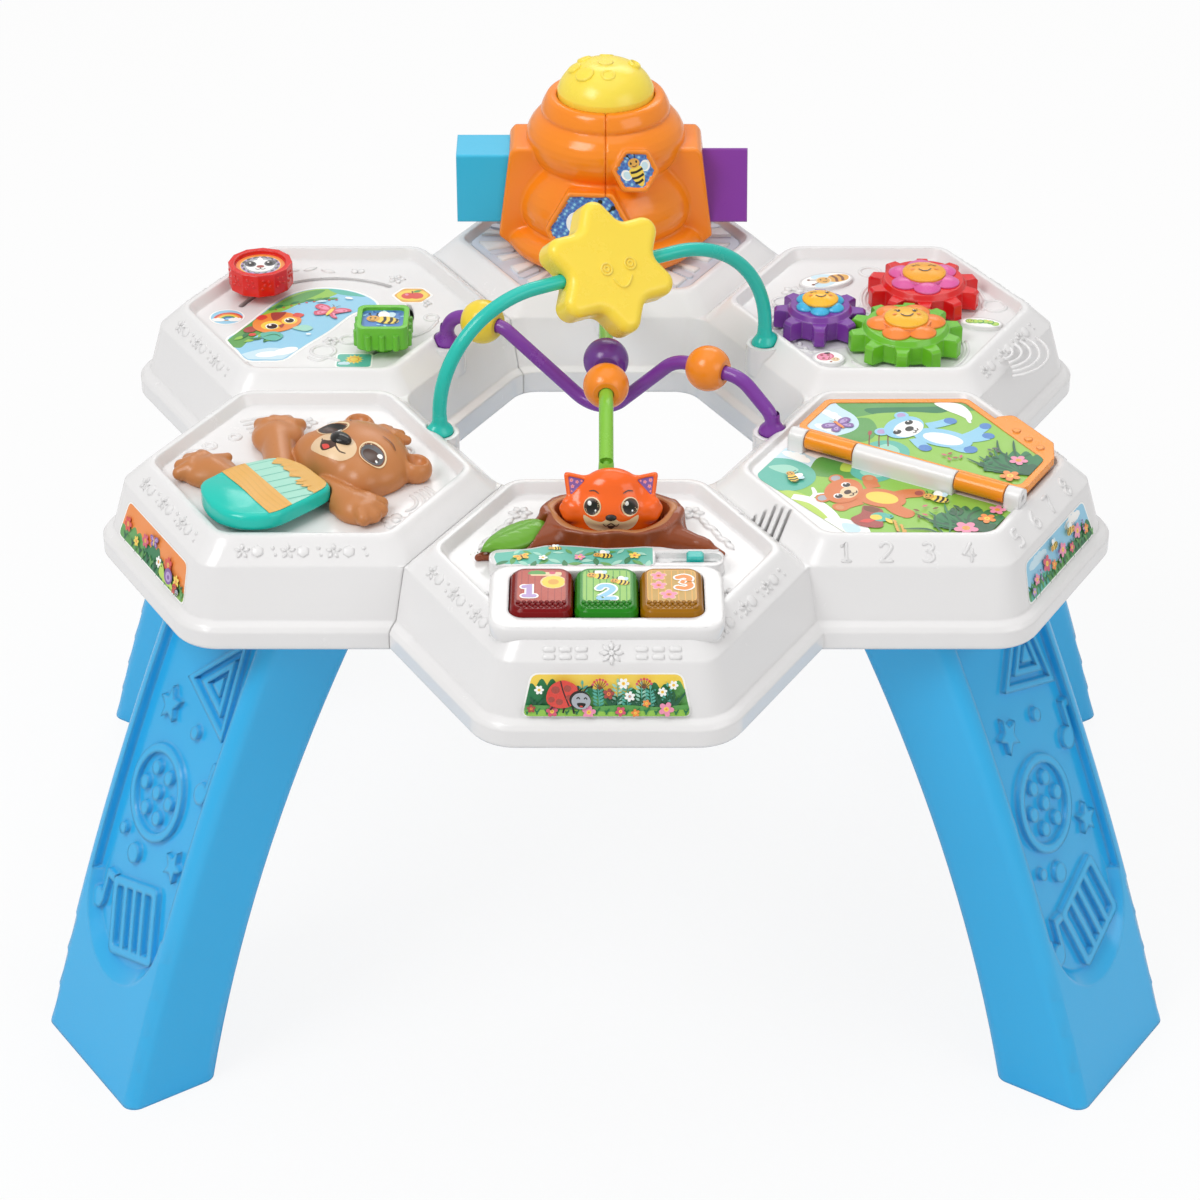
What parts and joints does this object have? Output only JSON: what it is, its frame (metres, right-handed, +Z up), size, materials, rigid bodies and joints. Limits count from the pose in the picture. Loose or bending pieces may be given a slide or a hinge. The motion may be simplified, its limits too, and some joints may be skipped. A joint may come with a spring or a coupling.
{
  "type": "musical activity table",
  "caption": "Toddler activity table: honeycomb play deck with keys, press-down animals, gears, sliders, page, wire beads and hive on splayed legs.",
  "frame": {"origin": "on the floor under the middle of the table", "axes": "+Z up, -Y towards the side with the three keys, +X to the right when facing that side"},
  "size_m": [0.6438, 0.58, 0.4491],
  "materials": {
    "deck_white": "glossy white ABS",
    "base_white": "satin white ABS",
    "leg_blue": "glossy sky blue",
    "steel": "zinc-plated steel",
    "bark": "satin dark brown",
    "bear_brown": "satin brown",
    "belly_teal": "glossy teal",
    "hive_orange": "glossy orange",
    "tray_grey": "satin light grey",
    "wire_teal": "glossy coating on a steel wire",
    "wire_purple": "glossy coating on a steel wire",
    "wire_green": "glossy coating on a steel wire",
    "speaker_black": "matt",
    "board_green": "circuit board",
    "pad_grey": "silicone rubber",
    "battery_shell": "plain sleeve",
    "contact_metal": "nickel-plated spring steel",
    "key_red": "translucent red",
    "key_green": "translucent green",
    "key_amber": "translucent amber",
    "leaf_green": "glossy green",
    "fox_orange": "glossy orange",
    "switch_teal": "glossy teal",
    "page_orange": "glossy orange frame round a printed page",
    "gear_purple": "glossy purple",
    "gear_green": "glossy green",
    "gear_red": "glossy red",
    "petal_blue": "glossy blue",
    "petal_orange": "glossy orange",
    "petal_pink": "glossy pink",
    "face_yellow": "glossy yellow",
    "face_orange": "glossy yellow-orange",
    "knob_red": "glossy red",
    "knob_green": "glossy green",
    "dome_yellow": "glossy yellow",
    "block_blue": "glossy sky blue",
    "block_purple": "glossy purple",
    "bar_grey": "natural acetal",
    "star_yellow": "glossy yellow",
    "bead_yellow": "glossy yellow",
    "bead_orange": "glossy orange",
    "bead_purple": "glossy purple"
  },
  "bodies": {
    "table": {"left_deck": "deck_white", "right_deck": "deck_white", "left_base": "base_white", "right_base": "base_white", "leg_front_left": "leg_blue", "leg_front_right": "leg_blue", "leg_rear_left": "leg_blue", "leg_rear_right": "leg_blue", "deck_screws": "steel", "stump": "bark", "bear_body": "bear_brown", "hive_left": "hive_orange", "hive_right": "hive_orange", "hive_plate": "tray_grey", "teal_wire": "wire_teal", "purple_wire": "wire_purple", "green_wire": "wire_green", "wire_screws": "steel", "hive_screws": "steel", "hinge_pin": "steel", "gear_screws": "steel", "speaker": "speaker_black", "main_board": "board_green", "key_pads": "pad_grey", "battery_door": "base_white", "batteries": "battery_shell", "battery_contacts": "contact_metal", "fox_spring": "steel", "bear_spring": "steel", "dome_spring": "steel"},
    "key_1": {"key_1": "key_red"},
    "key_2": {"key_2": "key_green"},
    "key_3": {"key_3": "key_amber"},
    "leaf_button": {"leaf_button": "leaf_green"},
    "fox_head": {"fox_head": "fox_orange"},
    "power_switch": {"power_switch": "switch_teal"},
    "bear_belly": {"bear_belly": "belly_teal"},
    "book_page": {"book_page": "page_orange"},
    "purple_flower": {"purple_gear": "gear_purple", "purple_petals": "petal_blue", "purple_face": "face_yellow"},
    "green_flower": {"green_gear": "gear_green", "green_petals": "petal_orange", "green_face": "face_orange"},
    "red_flower": {"red_gear": "gear_red", "red_petals": "petal_pink", "red_face": "face_yellow"},
    "red_knob": {"red_knob": "knob_red", "red_retainer": "knob_red"},
    "green_knob": {"green_knob": "knob_green", "green_retainer": "knob_green"},
    "hive_dome": {"hive_dome": "dome_yellow"},
    "hive_slider": {"blue_block": "block_blue", "purple_block": "block_purple", "slider_bar": "bar_grey"},
    "star": {"star": "star_yellow"},
    "yellow_bead": {"yellow_bead": "bead_yellow"},
    "wave_orange_bead": {"wave_orange_bead": "bead_orange"},
    "arch_orange_bead": {"arch_orange_bead": "bead_orange"},
    "purple_bead": {"purple_bead": "bead_purple"}
  },
  "joints": [
    {"name": "key_1_press", "type": "slide", "parent": "table", "child": "key_1", "axis": [0, 0, -1], "range_m": [0, 0.003], "stiffness_N_per_m": 300, "springref_m": -0.002},
    {"name": "key_2_press", "type": "slide", "parent": "table", "child": "key_2", "axis": [0, 0, -1], "range_m": [0, 0.003], "stiffness_N_per_m": 300, "springref_m": -0.002},
    {"name": "key_3_press", "type": "slide", "parent": "table", "child": "key_3", "axis": [0, 0, -1], "range_m": [0, 0.003], "stiffness_N_per_m": 300, "springref_m": -0.002},
    {"name": "leaf_button_press", "type": "slide", "parent": "table", "child": "leaf_button", "axis": [0, 0, -1], "range_m": [0, 0.002], "stiffness_N_per_m": 300, "springref_m": -0.002},
    {"name": "fox_head_press", "type": "slide", "parent": "table", "child": "fox_head", "axis": [0, 0, -1], "range_m": [0, 0.006], "stiffness_N_per_m": 250, "springref_m": -0.004, "deforming": ["fox_spring"]},
    {"name": "bear_belly_press", "type": "slide", "parent": "table", "child": "bear_belly", "axis": [0, 0, -1], "range_m": [0, 0.004], "stiffness_N_per_m": 300, "springref_m": -0.004, "deforming": ["bear_spring"]},
    {"name": "hive_dome_press", "type": "slide", "parent": "table", "child": "hive_dome", "axis": [0, 0, -1], "range_m": [0, 0.005], "stiffness_N_per_m": 400, "springref_m": -0.006, "deforming": ["dome_spring"]},
    {"name": "power_switch_slide", "type": "slide", "parent": "table", "child": "power_switch", "axis": [1, 0, 0], "range_m": [-0.0075, 0.0075]},
    {"name": "book_page_turn", "type": "hinge", "parent": "table", "child": "book_page", "pos_m": [0.16164, -0.10603, 0.3395], "axis": [0.866, -0.5, 0], "range_deg": [0, 180]},
    {"name": "green_flower_spin", "type": "hinge", "parent": "table", "child": "green_flower", "pos_m": [0.174, 0.052, 0.336], "axis": [0, 0, 1], "continuous": true},
    {"name": "purple_flower_spin", "type": "hinge", "parent": "table", "child": "purple_flower", "pos_m": [0.12546, 0.07567, 0.336], "axis": [0, 0, 1], "continuous": true},
    {"name": "red_flower_spin", "type": "hinge", "parent": "table", "child": "red_flower", "pos_m": [0.18892, 0.11012, 0.336], "axis": [0, 0, 1], "continuous": true},
    {"name": "red_knob_track", "type": "hinge", "parent": "table", "child": "red_knob", "pos_m": [-0.163, 0.082, 0.336], "axis": [0, 0, 1], "range_deg": [-66, 16]},
    {"name": "green_knob_track", "type": "hinge", "parent": "table", "child": "green_knob", "pos_m": [-0.1745, 0.088, 0.336], "axis": [0, 0, 1], "range_deg": [-17, 51]},
    {"name": "hive_slider_slide", "type": "slide", "parent": "table", "child": "hive_slider", "axis": [1, 0, 0], "range_m": [-0.018, 0.018]},
    {"name": "star_spin", "type": "hinge", "parent": "table", "child": "star", "pos_m": [0, 0, 0.4045], "axis": [0.866, 0.5, 0], "continuous": true},
    {"name": "yellow_bead_spin", "type": "hinge", "parent": "table", "child": "yellow_bead", "pos_m": [-0.07101, 0.041, 0.351], "axis": [0.866, -0.5, 0], "continuous": true},
    {"name": "wave_orange_bead_spin", "type": "hinge", "parent": "table", "child": "wave_orange_bead", "pos_m": [0.05672, -0.03275, 0.36], "axis": [0.866, -0.5, 0], "continuous": true},
    {"name": "arch_orange_bead_slide", "type": "slide", "parent": "table", "child": "arch_orange_bead", "axis": [0, 1, 0], "range_m": [-0.005, 0.008]},
    {"name": "purple_bead_slide", "type": "slide", "parent": "table", "child": "purple_bead", "axis": [0, 1, 0], "range_m": [-0.008, 0.058]}
  ],
  "couplings": [
    {"joint": "purple_flower_spin", "follows": "green_flower_spin", "ratio": -1.25},
    {"joint": "red_flower_spin", "follows": "green_flower_spin", "ratio": -1}
  ]
}
